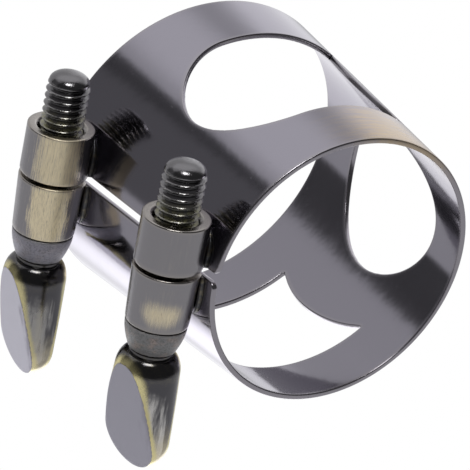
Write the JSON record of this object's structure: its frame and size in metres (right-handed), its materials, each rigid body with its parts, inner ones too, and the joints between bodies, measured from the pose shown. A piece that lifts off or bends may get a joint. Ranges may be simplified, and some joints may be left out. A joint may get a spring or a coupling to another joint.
{
  "type": "saxophone ligature",
  "caption": "Two-screw saxophone ligature: a windowed, slightly tapered spring band that clamps the reed to a mouthpiece.",
  "frame": {"origin": "on the bore axis, halfway along the band", "axes": "+Y along the bore from the small front rim to the large rear rim, +Z along the screws towards their tips, the seam and its posts towards -X"},
  "size_m": [0.0359, 0.025, 0.0342],
  "materials": {
    "black_nickel": "brass sheet plated in polished black nickel, worn towards brass along the edges",
    "black_nickel_screw": "threaded rod plated in black nickel",
    "antique_brass": "antique brass, darkened and brushed back",
    "braze": "braze under black nickel",
    "blasted_nickel": "fine-blasted grey nickel",
    "worn_nickel": "satin black nickel flats with worn brass edges"
  },
  "bodies": {
    "clamp": {"band": "black_nickel", "front_upper_post": "antique_brass", "front_lower_post": "antique_brass", "front_upper_braze": "braze", "front_lower_braze": "braze", "rear_upper_post": "antique_brass", "rear_lower_post": "antique_brass", "rear_upper_braze": "braze", "rear_lower_braze": "braze"},
    "front_collar": {"front_collar": "blasted_nickel"},
    "front_screw": {"front_screw_rod": "black_nickel_screw", "front_thumb_head": "worn_nickel"},
    "rear_collar": {"rear_collar": "blasted_nickel"},
    "rear_screw": {"rear_screw_rod": "black_nickel_screw", "rear_thumb_head": "worn_nickel"}
  },
  "joints": [
    {"name": "front_screw_travel", "type": "slide", "parent": "clamp", "child": "front_collar", "axis": [0, 0, 1], "range_m": [-0.0098, 0]},
    {"name": "front_screw_turn", "type": "hinge", "parent": "front_collar", "child": "front_screw", "pos_m": [-0.01616, -0.0089, 0], "axis": [0, 0, 1], "range_deg": [-5041, 0]},
    {"name": "rear_screw_travel", "type": "slide", "parent": "clamp", "child": "rear_collar", "axis": [0, 0, 1], "range_m": [-0.0098, 0]},
    {"name": "rear_screw_turn", "type": "hinge", "parent": "rear_collar", "child": "rear_screw", "pos_m": [-0.01744, 0.00895, 0], "axis": [0, 0, 1], "range_deg": [-5041, 0]}
  ],
  "couplings": [
    {"joint": "front_screw_turn", "follows": "front_screw_travel", "rad_per_m": 8976},
    {"joint": "rear_screw_turn", "follows": "rear_screw_travel", "rad_per_m": 8976}
  ]
}
